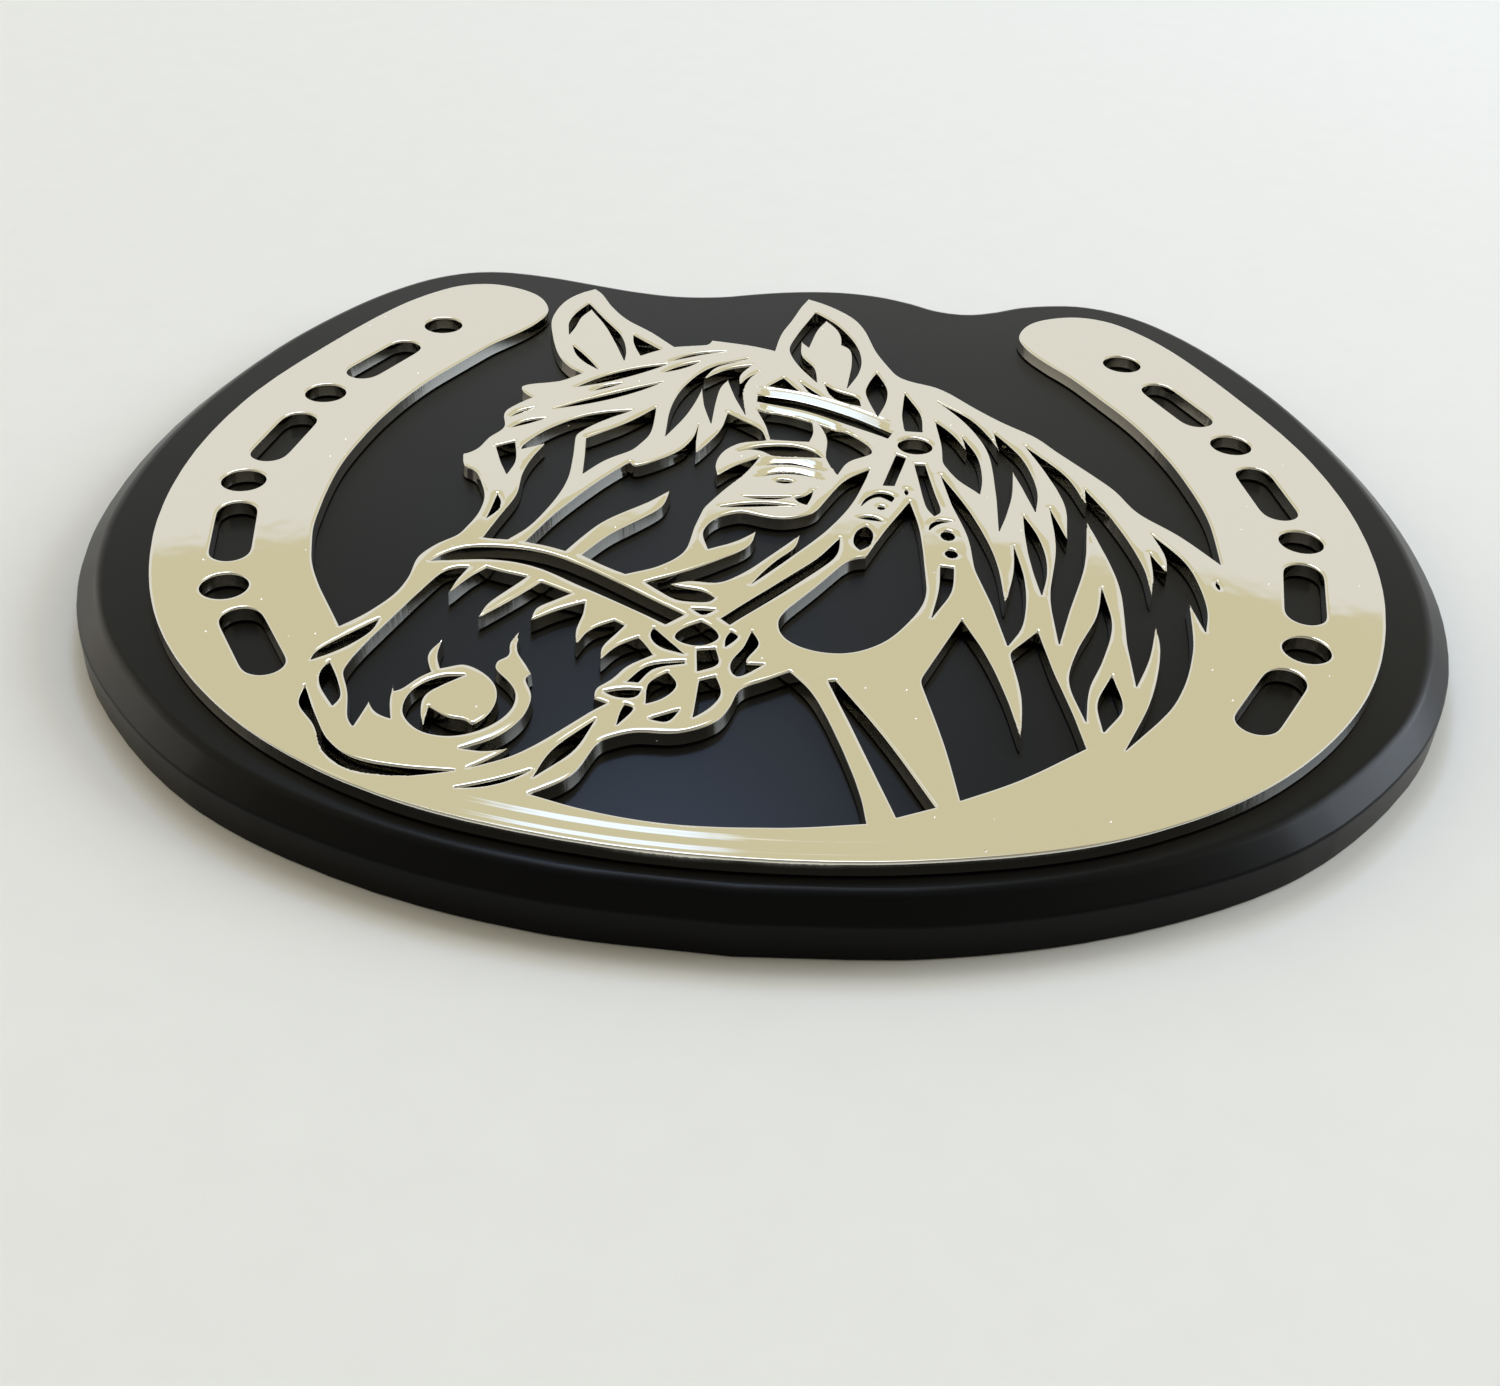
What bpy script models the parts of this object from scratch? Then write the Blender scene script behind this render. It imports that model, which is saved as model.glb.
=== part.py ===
"""Horseshoe plaque: a pierced metal badge of a bridled horse's head in a horseshoe, on a flat plate.

It lies on its back, +Z up, toe of the horseshoe towards -Y, and the middle of its underside is the origin.
The plate has an upright rim, a bevel and a wavy edge along the heels and ears. The badge is one flat casting:
the horse's head grows out of the horseshoe, and every dark line of the drawing is cut right through.

The drawing is in millimetres on a plate 150 wide. An outline is a row of sides that meet at corners.
Each side starts at its own corner and runs smoothly through its other points to the corner of the next side.
"""

import math

import bmesh
import bpy
from mathutils import Matrix, Vector

# Driving dimensions, in metres
PLATE_WIDTH = 0.150
PLATE_THICKNESS = 0.00575
BEVEL_RUN = 0.0024
BEVEL_DROP = 0.00185
SEAT_GAP = 0.0003
BADGE_THICKNESS = 0.0014
BADGE_OFF_CENTRE = 0.0003
BADGE_TURN = math.radians(0.4)
NAIL_HOLE_DIAMETER = 0.0051
NAIL_SLOT_WIDTH = 0.0043
NAIL_SLOT_LENGTH = 0.0127
ROSETTE_DIAMETER = 0.0043

# The drawing's scale, and how finely its curves are cut into straight runs, in drawn millimetres
DRAWN_WIDTH = 150.0
UNIT = PLATE_WIDTH / DRAWN_WIDTH
CURVE_STEPS = 12
CURVE_TOLERANCE = 0.035
OVAL_FINENESS = 2.5
SLOT_END_STEPS = 8
TINY = 1e-6
WELD = 1e-4

# A leaf between its two sharp ends: share of the run, and share of the full bow and width there
LEAF_PROFILE = ((0.25, 0.75), (0.5, 1.0), (0.75, 0.75))

# Colour, metalness and roughness
PLATING = ((0.78, 0.76, 0.68), 1.0, 0.12)
MATTE_BLACK = ((0.03, 0.03, 0.033), 0.0, 0.5)

# The plate: half of its rim from the toe to the crown over the heel, then its back edge from right to left
PLATE_SIDE = (
    (0, -67.6), (17.1, -66.3), (34.8, -61.5), (51.4, -52.5), (64.9, -38), (71.1, -26), (74.3, -13.1), (75, 0),
    (73.9, 13), (71.2, 25.9), (67.1, 38.7), (61, 51.3), (56.3, 58.2), (51.8, 62.8), (46.8, 65.7), (42, 66.7),
)
PLATE_BACK = (
    (42, 66.7), (37.5, 66.2), (33, 64.8), (29, 62.5), (25.6, 61.3), (22.4, 61.8), (19, 63.8), (14.7, 65.6),
    (10, 66.5), (5.5, 66.5), (0, 65.6), (-5, 64.1), (-10, 62.3), (-15.5, 61.6), (-21, 62.3), (-27, 63.9),
    (-33, 65.6), (-38, 66.5), (-42, 66.7),
)

# The horseshoe: one arm, up its inner edge, round the heel and down the outer edge to the toe
ARM_HEEL_TO_TOE = (
    (32.3, 48), (34.6, 53), (40.5, 55.8), (45.2, 54.9), (49.2, 51.4), (53, 46), (58.8, 33.8), (64.9, 17),
    (67.3, -0.3), (65.6, -18), (59.3, -34.5), (47.8, -48.3), (33, -57.4), (16.4, -61.9), (0, -63.2),
)
ARM_INNER = ((49.9, 0), (48.9, 8), (47.1, 16), (44.3, 24), (41.3, 30), (38, 36.3), (35.4, 40), (33.2, 44))
CREST_CORNER = (49.6, -9.9)
CHIN_CORNER = (-42.2, -31.8)
LOW_LEFT_ARM = ((-44.2, -28), (-46.3, -24), (-47.9, -20), (-48.9, -16), (-49.6, -12))

# Nail holes of the right arm, heel to toe: round holes and slots take turns
NAIL_PLACES = (
    (45.5, 41.0), (51.0, 29.5), (56.0, 19.0), (58.0, 7.1), (59.7, -3.9), (57.7, -14.9), (55.5, -25.9),
    (50.0, -35.3),
)

# The head's own edge, from the crest's corner on the right arm over the ears and down the face to the chin
HEAD_EDGE = (
    (
        CREST_CORNER, (46, -4.1), (42, 0.6), (40, 5.7), (38, 8.9), (34, 14.8), (32, 18), (28, 21.7),
        (24, 26.3), (22, 28.9), (20, 30.7), (17, 31.9), (15.5, 33), (14.2, 36), (12.7, 40.3), (11.3, 47),
        (10, 50.5), (8, 53.2), (5.4, 55.6),
    ),
    ((3.3, 56.9), (2.3, 54), (1.2, 49.5), (0, 45.5), (-0.6, 42)),
    ((-0.9, 39), (-4, 40.1)),
    ((-9.4, 41.1), (-9.9, 39.6), (-11, 39.3)),
    ((-14.2, 38.4), (-17.6, 42.6), (-21.2, 46.2), (-24, 50.8), (-25.8, 55)),
    ((-26.8, 56.2), (-28.4, 54.8), (-30.4, 51.6), (-31.5, 45.5), (-30.6, 39.5), (-28.9, 33.5), (-27, 30.3)),
    ((-25.3, 28.9), (-28, 26.1), (-31, 25.1), (-32.5, 24.2), (-31.9, 22.5)),
    ((-30.6, 21.2), (-32.3, 19.2), (-33.5, 16.8), (-32.8, 12.6), (-34.2, 10), (-35.2, 6.6)),
    ((-36.5, 5.4), (-36.2, 3.6), (-35.6, 2.3), (-34.5, 1.8), (-33.4, -0.6), (-32.4, -4), (-32.4, -8)),
    ((-33.7, -13), (-35.8, -15.2), (-37.2, -18), (-37.3, -22), (-38.1, -25.5), (-39.6, -28.4)),
)

# Narrow leaf-shaped cuts: both ends, how far the middle bows to the left of that run, and the width
FORELOCK_LEAVES = (
    ((-27.6, 37.2), (-23.4, 30.2), -0.3, 1.0),
    ((-25.8, 24.7), (-14.8, 33.0), 0.2, 1.9),
    ((-15.2, 30.4), (-10.6, 34.3), 0.0, 1.0),
    ((-14.6, 33.9), (-7.3, 37.9), 0.6, 0.6),
    ((-27.7, 18.3), (-14.8, 27.6), -0.3, 1.4),
    ((-23.6, 23.9), (-20.0, 26.6), 0.2, 0.6),
    ((-32.1, 12.7), (-28.2, 15.7), 0.3, 0.9),
    ((-32.6, 15.6), (-30.0, 18.4), 0.2, 0.6),
    ((-31.0, -3.4), (-31.3, -9.0), 0.5, 0.9),
)
EYE_LEAVES = (
    ((-1.9, 6.7), (5.9, 6.3), 1.3, 0.6),
    ((-2.0, 3.9), (5.8, 4.1), 1.5, 0.6),
    ((-3.2, -0.9), (2.2, -0.3), -0.3, 0.6),
    ((-5.7, -3.5), (2.7, -2.3), 0.4, 0.8),
)
STRAP_LEAVES = (
    ((9.8, -4.2), (12.7, -4.7), 0.4, 0.9),
    ((28.7, -1.5), (29.2, -18.2), 0.5, 1.8),
    ((-26.2, -56.1), (-20.0, -53.0), -0.5, 0.6),
)

# Small oval cuts: centre, half width, half height and lean in degrees
OVALS = (
    (1.3, 3.2, 1.1, 0.5, 0),
    (12.5, -1.6, 0.7, 0.75, 0),
    (15.5, 2.5, 0.35, 0.7, 0),
    (10.4, -8.5, 1.05, 2.7, -8),
    (19.8, -7.0, 0.95, 1.35, 0),
    (20.0, -10.9, 0.85, 1.1, 0),
    (48.5, -14.3, 0.3, 0.85, 0),
)
ROSETTE_PLACE = (16.9, 14.0)

EARS = (
    (
        ((-27.1, 51.2), (-24.3, 46), (-21.6, 41.2), (-20.5, 36.5)),
        ((-20.4, 33.4), (-22, 38.5), (-24, 44)),
        ((-26.5, 49.1), (-27.6, 46.5), (-28, 43)),
        ((-28.5, 40.5), (-29, 44.5), (-28.4, 48)),
    ),
    (
        ((-20, 41.6),),
        ((-15.9, 37.4),),
        ((-18.4, 35.2), (-19.6, 38.8)),
    ),
    (
        ((4.4, 52.5), (7.2, 49), (9.8, 43), (10.6, 38), (10.2, 33.6)),
        ((8.7, 28.9), (9.4, 36.5), (9.1, 41)),
        ((8, 42), (8, 44.6), (7.2, 47.6)),
        ((5.9, 49.7), (4.8, 47)),
        ((3.6, 40.7),),
        ((2.6, 42.3), (2.7, 38), (4.4, 34.6)),
        ((4.8, 30.2), (2.4, 34.8), (1.1, 39.8), (2, 44.6)),
    ),
)

FACE = (
    (
        ((-33, 7.9),),
        ((-31, 9.3), (-30.2, 4.5)),
        ((-30.7, 1.3), (-31.8, 4)),
    ),
    (
        ((-30, 8.4), (-28, 12.4), (-24.6, 16.3), (-21.5, 18.2)),
        ((-18, 19.2), (-20.8, 16.5), (-22.9, 14)),
        ((-24.1, 12), (-23.7, 6), (-23.7, 0), (-25, -6), (-26.6, -10.6)),
        ((-28.3, -13.2),),
        ((-31, -13.2), (-30, -8.5), (-28.8, -3), (-28.9, 2), (-28.3, 6)),
        ((-27.4, 9.1), (-28.7, 8.4)),
        ((-29.9, 7.5),),
    ),
    (
        ((-15.1, 20.4), (-18.5, 15.7)),
        ((-22.7, 11.4), (-22.3, 7)),
        ((-22, 2.4), (-19.8, 6)),
        ((-16.9, 8.8), (-15.3, 13)),
    ),
    (
        ((-26.4, -13.5), (-23.9, -6.8), (-20, 1), (-18, 4.3)),
        ((-16.9, 5.9), (-16.3, 4.9), (-14.6, 6), (-11.4, 9.4), (-9.9, 13)),
        ((-9.55, 16.3), (-9.6, 12)),
        ((-9.4, 8.9), (-8, 12), (-6.7, 15.6)),
        ((-6.1, 20.1), (-3.9, 18.1), (-2, 16.4)),
        ((-1.1, 13.3), (-4.2, 12.4), (-6.1, 10), (-6.9, 6.5)),
        ((-6.5, 3.8), (-5, 6.1)),
        ((-1.8, 8.9), (-3.4, 4.6), (-5.6, 0.4)),
        ((-7.6, -3.8), (-8.4, -8.4), (-9.2, -14), (-11.6, -17)),
        ((-14.9, -18.9), (-17.4, -17.4)),
        ((-20, -15.5), (-17.5, -11), (-14.5, -7.3), (-12.2, -4)),
        ((-11.65, -0.4), (-14, -3.4), (-18.4, -8.2), (-20.4, -11.8)),
        ((-21.8, -14.9), (-24, -14)),
    ),
    (
        ((-4.3, 36.1), (-8.8, 33.2), (-11.8, 27.5), (-13.2, 21)),
        ((-13.3, 12.9), (-11.4, 18.2), (-10.3, 23)),
        ((-9.75, 26.4), (-9.2, 22)),
        ((-8.05, 17), (-7.9, 22), (-7.4, 27.5)),
        ((-6.6, 29.3), (-5.3, 24)),
        ((-3.95, 19.9), (-4.6, 26.5), (-3.8, 30.4)),
        ((-2.7, 32.4), (-4, 30.8)),
        ((-5.05, 28.1), (-5.2, 31)),
        ((-3.8, 34.1), (-7, 32.6)),
        ((-9.7, 29.3), (-8.4, 32.9)),
    ),
)

BROWBAND = (
    (
        ((-1.5, 28.2),),
        ((0.5, 31),),
        ((2.7, 27.2),),
    ),
    (
        ((2.7, 30),),
        ((5.7, 26),),
        ((4.1, 26.6),),
    ),
    (
        ((5.8, 29.8), (7.6, 27.8), (10, 26.6)),
        ((10.4, 24), (8.6, 24.6), (6.9, 26)),
    ),
    (
        ((-2.6, 25.6), (2.3, 24.7), (8.6, 21.5)),
        ((14.2, 17.2),),
        ((13.6, 15.6), (9.4, 18.3), (3.4, 21.9)),
        ((-2.6, 23.6),),
    ),
    (
        ((-2.5, 21.3), (1, 20.9)),
        ((4.3, 19.2), (4.5, 16)),
        ((4, 13.6),),
        ((-0.6, 13.6), (-1.2, 17)),
    ),
    (
        ((5.3, 18.7), (8.6, 16.6), (11.3, 13.3), (11.6, 11.4), (10, 10.1), (8.7, 9)),
        ((7.5, 5.8), (6.2, 9.5), (6.3, 14.5)),
    ),
)

EYE = (
    (
        ((-4.4, 10.1), (-1.4, 11.9), (2.5, 12.3), (4.9, 11)),
        ((5.7, 9.6), (2.4, 9.6), (-0.3, 9.5)),
        ((-1.2, 10.6), (-3, 10.8)),
    ),
    (
        ((2.6, -0.4),),
        ((3.8, 0),),
        ((4.7, 1.5), (4.5, 0)),
        ((4, -1.8),),
        ((3.2, -1.6),),
    ),
)

CHEEK = (
    (
        ((11.3, 7.5), (8.7, 5), (6.4, 0), (4.6, -3.8), (1, -5.4)),
        ((-3.3, -4.2), (-6, -5.9), (-7.3, -9)),
        ((-6.5, -12.8), (-3.7, -10.9)),
        ((-1.5, -8.6), (-2, -11.4), (-5.8, -15.4), (-9.8, -18.5)),
        ((-12.7, -20.3),),
        ((-9.2, -23.4), (-7.4, -23.5), (-5.6, -23.3)),
        ((-5.2, -22.5), (-6.6, -21.2), (-8.4, -21)),
        ((-10, -20.5), (-8, -19.4), (-5, -19.6), (-2.6, -17.4), (0.4, -13.2)),
        ((3.4, -8.7), (3, -11.2), (1.2, -13.9), (-0.4, -16.8)),
        ((-1.6, -19.5), (2.3, -13.8), (6.4, -7.2), (9, -1.4), (10.7, 4.6)),
    ),
    (
        ((7.8, -8.8), (5.4, -13.4), (1.6, -18.4)),
        ((-4.4, -26.3),),
        ((-3.4, -27.4), (0.9, -22), (4.4, -17.2), (7.4, -12.6)),
    ),
    (
        ((14.6, 11.6),),
        ((15.7, 10.9),),
        ((14.1, 3.8),),
        ((12.8, 3.7),),
    ),
    (
        ((15.8, 0.3), (16.6, -5), (16.9, -13), (16.7, -20.4), (14.3, -26), (11.8, -29.4), (8.4, -31.4),
         (4.6, -31.1), (2.2, -29.2), (1.5, -26.4)),
        ((2.2, -24.1), (5.2, -19.3)),
        ((8.3, -14), (9.4, -13)),
        ((10.6, -12.7), (13, -6.2)),
    ),
)

CRESCENTS = (
    (
        ((10.2, -1.4), (10.7, 0.4), (11.7, 1.7), (13, 2.1), (14.1, 1.2)),
        ((13.7, 0), (12.4, 1.1), (11.3, 0.5)),
    ),
    (
        ((17.8, -5.9), (18, -4.4), (19, -3.5)),
        ((20.4, -3.8), (19.1, -4.2), (18.4, -4.9)),
    ),
    (
        ((12.6, 34), (13.8, 29.6), (13.6, 25.6)),
        ((12.5, 21.5), (11.5, 25.7), (11.1, 28.4), (11.8, 31.8)),
    ),
)

THROAT = (
    (
        ((16.7, 9.4), (17.1, 5), (17.9, -1.6)),
        ((18.5, -2.7), (19.2, -2), (18.7, 3)),
        ((17.9, 9.4),),
    ),
    (
        ((18.7, -13.6),),
        ((20.1, -13.8), (19.6, -18.6)),
        ((17.3, -23.9), (18.4, -18)),
    ),
    (
        ((16.1, 28.4), (15.6, 22)),
        ((15.8, 17.9),),
        ((17.9, 17.9), (17.9, 22.5)),
    ),
)

MANE = (
    (
        ((19.7, 20.9), (21.6, 17.9)),
        ((23.15, 13.3),),
        ((22.8, 17.2), (24.3, 12.4), (24.5, 6.5)),
        ((24, 3), (21.6, 6.4)),
        ((20.1, 10), (20.2, 14.5)),
    ),
    (
        ((20.2, 26.5), (24, 22.3), (26.2, 17.4)),
        ((27.1, 13.6),),
        ((26.8, 18.7), (29.6, 13), (30.8, 4.5)),
        ((30.15, -0.4), (29.2, 5)),
        ((28.3, 8.9), (27.7, 3), (26.6, -2)),
        ((25.65, -5.3), (26, 5), (25.6, 14.4), (23.2, 21.4)),
    ),
    (
        ((30.4, 15.7), (34.6, 8.6)),
        ((36.25, 1.8),),
        ((36.5, 5.6), (38.8, -1), (40.9, -11)),
        ((40.9, -17.6), (41.8, -13)),
        ((42.1, -8.3),),
        ((43.35, -12.3), (43.8, -9)),
        ((42.9, -4.1), (45.8, -10), (46.5, -19)),
        ((45.6, -23.6),),
        ((44.75, -18.1), (43.7, -27), (40.4, -36.6)),
        ((34.5, -44.7), (38.2, -36.2), (40.4, -27.4)),
        ((40.55, -22.8), (39, -29)),
        ((37, -34.1), (37.1, -27), (37.8, -16), (36.7, -6.6)),
        ((35.8, -2), (34.5, -11.4), (31.8, -21)),
        ((30.1, -27.4), (30.1, -18.6), (31.8, -8)),
        ((31.9, 0.6),),
        ((33.15, -6.5), (33.8, 1), (32.2, 9.6)),
    ),
    (
        ((19.7, 7.1), (22.8, -2), (24.8, -11.6)),
        ((25.1, -20.8), (26.6, -14)),
        ((27.05, -8.4), (27.6, -16), (26.6, -24.4)),
        ((24.8, -28.3), (23.8, -21)),
        ((22.4, -13.9), (22.1, -7), (20.7, 0)),
    ),
    (
        ((35.8, -16.1), (36, -23), (34.2, -29.8), (32.2, -35)),
        ((31.3, -40.5), (30.4, -34), (32, -28), (34.7, -21.6)),
    ),
    (
        ((34.8, -32.5), (35.1, -38)),
        ((32.8, -42), (32.8, -37.4)),
    ),
)

NECK = (
    (
        ((20.4, -24), (22.4, -30), (24, -37.6)),
        ((24.8, -44), (25.5, -37)),
        ((24.9, -29.5),),
        ((28.1, -25.3), (29, -32.6), (30.3, -40.4)),
        ((30.8, -44.8), (24, -50.3)),
        ((18.6, -53.6), (17.6, -45.6)),
        ((15.7, -35.3), (18.2, -29.2)),
    ),
    (
        ((6.7, -36.4),),
        ((7.4, -36.2), (12, -45)),
        ((16.3, -54.8),),
        ((12.8, -56.5), (10, -47), (8, -40.4)),
    ),
    (
        ((2.9, -35.1), (5, -38.2), (7.6, -45.6), (9.6, -53.6)),
        ((10.1, -57.6), (3, -58.8), (-7, -59.2), (-14.4, -58)),
        ((-19.6, -56.3), (-16.4, -53.6), (-14.9, -49.6)),
        ((-14.4, -48), (-11.4, -46.3), (-7.3, -46.1), (-3.8, -44), (-2.5, -41.2), (-1.8, -38.5),
         (0.7, -36.7)),
    ),
    (
        ((-15.1, -44.8), (-16.6, -49.8)),
        ((-19.6, -53.9), (-18.4, -49.6)),
    ),
)

NOSEBAND = (
    (
        ((-34.9, -17.2), (-32.6, -15.4), (-27.7, -14.8), (-22.5, -16.1)),
        ((-8.1, -26),),
        ((-9.9, -28), (-19.1, -21.9), (-24.6, -18.5), (-29.5, -17.5)),
        ((-35.7, -18.6),),
    ),
)

# The big muzzle opening runs round the bristles under the noseband, the nostril's curl and the jaw
MUZZLE = (
    (
        ((-32, -19.3), (-33.6, -20), (-35, -23), (-37.8, -31), (-39.5, -36.2)),
        ((-40.1, -39.4), (-38.7, -43), (-37.8, -47)),
        ((-37.1, -48),),
        ((-36.5, -44.1), (-35.4, -45.9)),
        ((-34, -46.5), (-34.7, -43.5)),
        ((-34.9, -40.6), (-34.5, -42.2), (-33.9, -41.8), (-32.7, -39.7)),
        ((-31.7, -38.7), (-32.6, -35.8)),
        ((-31.6, -33.2), (-31.6, -36)),
        ((-30.9, -38), (-30.1, -37.6), (-28.9, -37), (-27, -38), (-25.3, -40), (-24.65, -42.6),
         (-25.2, -45.4)),
        ((-26.3, -46.8), (-27, -46), (-28.6, -45.9)),
        ((-30.8, -44.3),),
        ((-30.7, -47.7), (-31.5, -45), (-31.6, -42.6), (-30.2, -40.8)),
        ((-28.4, -39), (-30.6, -39.3), (-32.8, -41.6), (-33.1, -45.2), (-31, -48.1), (-28.2, -48.7),
         (-25.2, -47.2), (-23.2, -44.2), (-23.2, -41), (-24.7, -38.7)),
        ((-25.8, -37.6), (-25.7, -36.2), (-24.7, -35.4), (-25, -33)),
        ((-24.3, -31), (-24, -34.3), (-22.6, -36.9)),
        ((-22.1, -38), (-22.6, -38.6), (-21.5, -41.4), (-21.9, -45.2), (-24, -48.5)),
        ((-26.8, -50.4), (-24.4, -50.6)),
        ((-22.4, -50), (-24, -51.8)),
        ((-25.6, -53.2), (-22, -51.1), (-19, -47.8)),
        ((-15.5, -43.3),),
        ((-14.3, -42.1),),
        ((-15.6, -41.5), (-15.7, -39.9), (-14.3, -38.2), (-13.1, -35.8)),
        ((-10.7, -33.6), (-11.6, -31.8)),
        ((-12.4, -30.7), (-14.4, -32.4)),
        ((-15.7, -35), (-15.9, -32.9), (-14.6, -30)),
        ((-14, -28.7),),
        ((-15.1, -27.9), (-17.4, -29.8)),
        ((-18.4, -32.8), (-18.8, -30), (-18.4, -27)),
        ((-18.5, -24.8), (-21.2, -26.6)),
        ((-23.5, -28.8), (-23.3, -26.4), (-21.4, -24.5)),
        ((-20.1, -23.3),),
        ((-23.5, -21.4), (-25.8, -24.8)),
        ((-28.8, -28.9), (-28.4, -26.3), (-26.1, -22.3)),
        ((-25.1, -20.6), (-27.4, -20)),
        ((-29.6, -19.2), (-31, -21.2)),
        ((-32.6, -24.7), (-32.3, -22.2)),
        ((-31.5, -19.4),),
    ),
)

MOUTH = (
    (
        ((-38.6, -30.1), (-38.9, -32.4), (-41, -35.6)),
        ((-43.5, -37.9), (-43.5, -36.6), (-41.2, -33.2)),
    ),
    (
        ((-41.7, -38), (-40.2, -41), (-39.3, -43.8)),
        ((-39.7, -45), (-41.6, -42), (-42.2, -39.6)),
    ),
    (
        ((-43, -42.2), (-41.2, -46.2), (-38.8, -50.4), (-36, -52.7), (-31.6, -53.6)),
        ((-26.7, -53.7), (-31, -54.8), (-36.2, -54.1), (-39, -51.8), (-40.6, -48.2), (-42.9, -45)),
    ),
)

# The knot of straps round the bit's ring, where the noseband meets the cheek strap
BIT_RING = (
    (
        ((-7.4, -24.9),),
        ((-5.1, -24.9), (-6.2, -25.9)),
    ),
    (
        ((-11, -28.8), (-9.8, -30.3)),
        ((-7.6, -33.1), (-10.2, -32.1), (-11.3, -30)),
    ),
    (
        ((-6.3, -27.1), (-5, -28.1), (-4.4, -30), (-6.2, -31.6), (-8.6, -30.7), (-8.6, -29)),
    ),
    (
        ((-3.2, -28.6), (-2.4, -29.4)),
        ((-3.6, -31.4), (-3.7, -30)),
    ),
    (
        ((-1.1, -28.4), (-0.3, -30.6), (-1.6, -33.7)),
        ((-1.4, -34.3),),
        ((0.3, -34.2), (-2.3, -36.5), (-3, -34.2), (-1.8, -31.4)),
    ),
    (
        ((-6.4, -32.3),),
        ((-4.6, -31.9), (-4.2, -34.6)),
        ((-6.1, -35.9),),
    ),
    (
        ((-7.5, -34.4), (-11, -35.4)),
        ((-12.8, -38.4),),
        ((-11.7, -38.4), (-10.4, -35.9)),
        ((-7.5, -34.8),),
    ),
    (
        ((-9, -36.4), (-7.9, -38.4), (-9.2, -41)),
        ((-10.6, -41.8), (-10.6, -38.2)),
    ),
    (
        ((-4.3, -36.7), (-3.6, -39.4), (-4.8, -42.2)),
        ((-6, -43.5), (-5.9, -40.4)),
        ((-5.8, -37.5),),
    ),
    (
        ((-14.7, -40.3), (-13, -39.6)),
        ((-11.3, -39.6), (-11.7, -40.9), (-13.6, -41)),
    ),
    (
        ((-12.6, -42.1), (-11.7, -42.5)),
        ((-13, -45.4), (-12.9, -43.4)),
    ),
    (
        ((-7.4, -42.5), (-8.4, -44.5)),
        ((-10.1, -44.2),),
    ),
)

WINDOWS = (
    EARS + FACE + BROWBAND + EYE + CHEEK + CRESCENTS + THROAT + MANE + NECK + NOSEBAND + MUZZLE + MOUTH
    + BIT_RING
)


def spline_point(p0, p1, p2, p3, share):
    """A point between p1 and p2 on the centripetal spline through all four."""
    def next_knot(knot, a, b):
        return knot + max(math.dist(a, b), TINY) ** 0.5

    def blend(a, b, ka, kb, k):
        part = (k - ka) / (kb - ka)
        return (a[0] + (b[0] - a[0]) * part, a[1] + (b[1] - a[1]) * part)

    k0 = 0.0
    k1 = next_knot(k0, p0, p1)
    k2 = next_knot(k1, p1, p2)
    k3 = next_knot(k2, p2, p3)
    k = k1 + (k2 - k1) * share
    a1 = blend(p0, p1, k0, k1, k)
    a2 = blend(p1, p2, k1, k2, k)
    a3 = blend(p2, p3, k2, k3, k)
    b1 = blend(a1, a2, k0, k2, k)
    b2 = blend(a2, a3, k1, k3, k)
    return blend(b1, b2, k1, k2, k)


def smooth_side(points):
    """The side's points and its end corner, joined by a fine smooth line."""
    if len(points) == 2:
        return list(points)
    start = (2 * points[0][0] - points[1][0], 2 * points[0][1] - points[1][1])
    end = (2 * points[-1][0] - points[-2][0], 2 * points[-1][1] - points[-2][1])
    row = [start, *points, end]
    fine = []
    for i in range(1, len(row) - 2):
        for step in range(CURVE_STEPS):
            fine.append(spline_point(row[i - 1], row[i], row[i + 1], row[i + 2], step / CURVE_STEPS))
    fine.append(points[-1])
    return fine


def thinned(points, tolerance):
    """The fewest of these points that stay within the tolerance of the line through them all."""
    first = Vector(points[0])
    last = Vector(points[-1])
    run = last - first
    across = Vector((-run.y, run.x)).normalized()
    farthest = 0
    reach = tolerance
    for i in range(1, len(points) - 1):
        away = Vector(points[i]) - first
        distance = abs(away.dot(across)) if run.length > TINY else away.length
        if distance > reach:
            farthest = i
            reach = distance
    if not farthest:
        return [points[0], points[-1]]
    return thinned(points[:farthest + 1], tolerance)[:-1] + thinned(points[farthest:], tolerance)


def outline(sides, tolerance=CURVE_TOLERANCE):
    """The closed loop of these sides, each smooth from its corner to the next."""
    loop = []
    for side, following in zip(sides, sides[1:] + sides[:1]):
        loop += thinned(smooth_side((*side, following[0])), tolerance)[:-1]
    return loop


def leaf(start, end, bow, width):
    """A narrow cut with two sharp ends, bowed to the left of the run from start to end."""
    run = Vector(end) - Vector(start)
    left = Vector((-run.y, run.x)).normalized()

    def edge(offset):
        return [tuple(Vector(start) + run * share + left * offset * full) for share, full in LEAF_PROFILE]

    there = (tuple(start), *edge(bow + width / 2))
    back = (tuple(end), *reversed(edge(bow - width / 2)))
    return outline((there, back))


def oval(x, y, half_width, half_height, lean=0.0):
    """An ellipse, leaning anticlockwise by so many degrees."""
    count = 4 * max(2, round(OVAL_FINENESS * max(half_width, half_height) ** 0.5))
    turn = Matrix.Rotation(math.radians(lean), 2)
    loop = []
    for i in range(count):
        angle = 2 * math.pi * i / count
        point = turn @ Vector((half_width * math.cos(angle), half_height * math.sin(angle)))
        loop.append((x + point.x, y + point.y))
    return loop


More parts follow.
